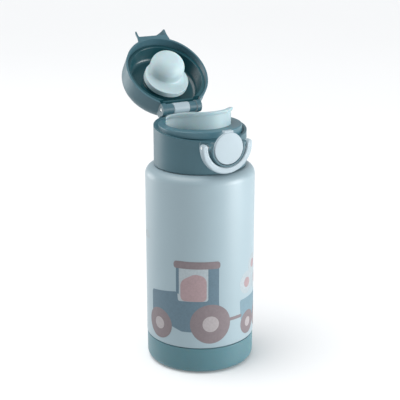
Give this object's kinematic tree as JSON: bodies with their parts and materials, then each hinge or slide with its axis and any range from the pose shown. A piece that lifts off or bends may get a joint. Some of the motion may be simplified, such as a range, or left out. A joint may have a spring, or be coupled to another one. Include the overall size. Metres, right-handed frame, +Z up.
{
  "type": "kids water bottle",
  "caption": "Insulated child's drinking bottle with screw-off collar, hinged flip lid, soft spout and stopper, push button release, swinging lock ring and silicone boot.",
  "frame": {"origin": "centre of the boot's underside, on the surface the bottle stands on", "axes": "+Z up along the bottle; -Y towards the release button; +Y towards the lid hinge; X across along the hinge pin"},
  "size_m": [0.07, 0.11, 0.2063],
  "materials": {
    "body_coating": "satin powder coat",
    "steel": "brushed",
    "teal_plastic": "satin",
    "dark_teal_plastic": "gloss",
    "pale_plastic": "satin",
    "pale_silicone": "matte",
    "teal_silicone": "matte",
    "white_silicone": "matte",
    "spring_steel": "drawn"
  },
  "bodies": {
    "bottle": {"bottle_outer_shell": "body_coating", "bottle_inner_flask": "steel", "base_disc": "steel", "silicone_boot": "teal_silicone"},
    "gasket": {"neck_gasket": "white_silicone"},
    "collar": {"collar_shell": "teal_plastic", "collar_core": "teal_plastic", "spout_retainer": "teal_plastic", "drinking_spout": "pale_silicone", "front_pivot_pin": "steel", "hinge_pin": "steel", "hinge_sleeve": "pale_plastic", "hinge_spring": "spring_steel", "button_spring": "spring_steel"},
    "button": {"release_button": "pale_plastic"},
    "ring": {"lock_ring": "pale_plastic"},
    "lid": {"lid_cover": "teal_plastic", "lid_liner": "dark_teal_plastic", "stopper_holder": "dark_teal_plastic", "stopper_plug": "pale_silicone", "holder_screw_front": "steel", "holder_screw_back": "steel"}
  },
  "joints": [
    {"name": "collar_lift", "type": "slide", "parent": "bottle", "child": "gasket", "axis": [0, 0, 1], "range_m": [0, 0.0081]},
    {"name": "collar_unscrew", "type": "hinge", "parent": "gasket", "child": "collar", "pos_m": [0, 0, 0.14], "axis": [0, 0, 1], "range_deg": [0, 720]},
    {"name": "lid_flip", "type": "hinge", "parent": "collar", "child": "lid", "pos_m": [0, 0.0264, 0.1617], "axis": [1, 0, 0], "range_deg": [0, 142.9], "stiffness_Nm_per_rad": 0.004, "springref_deg": -28.65},
    {"name": "button_press", "type": "hinge", "parent": "collar", "child": "button", "pos_m": [0, -0.0325, 0.1497], "axis": [1, 0, 0], "range_deg": [0, 8], "stiffness_Nm_per_rad": 0.02, "springref_deg": -5.73, "deforming": ["button_spring"]},
    {"name": "lock_ring_swing", "type": "hinge", "parent": "collar", "child": "ring", "pos_m": [0, -0.0325, 0.1497], "axis": [-1, 0, 0], "range_deg": [0, 180]}
  ],
  "couplings": [
    {"joint": "collar_lift", "follows": "collar_unscrew", "m_per_rad": 0.00063662}
  ]
}
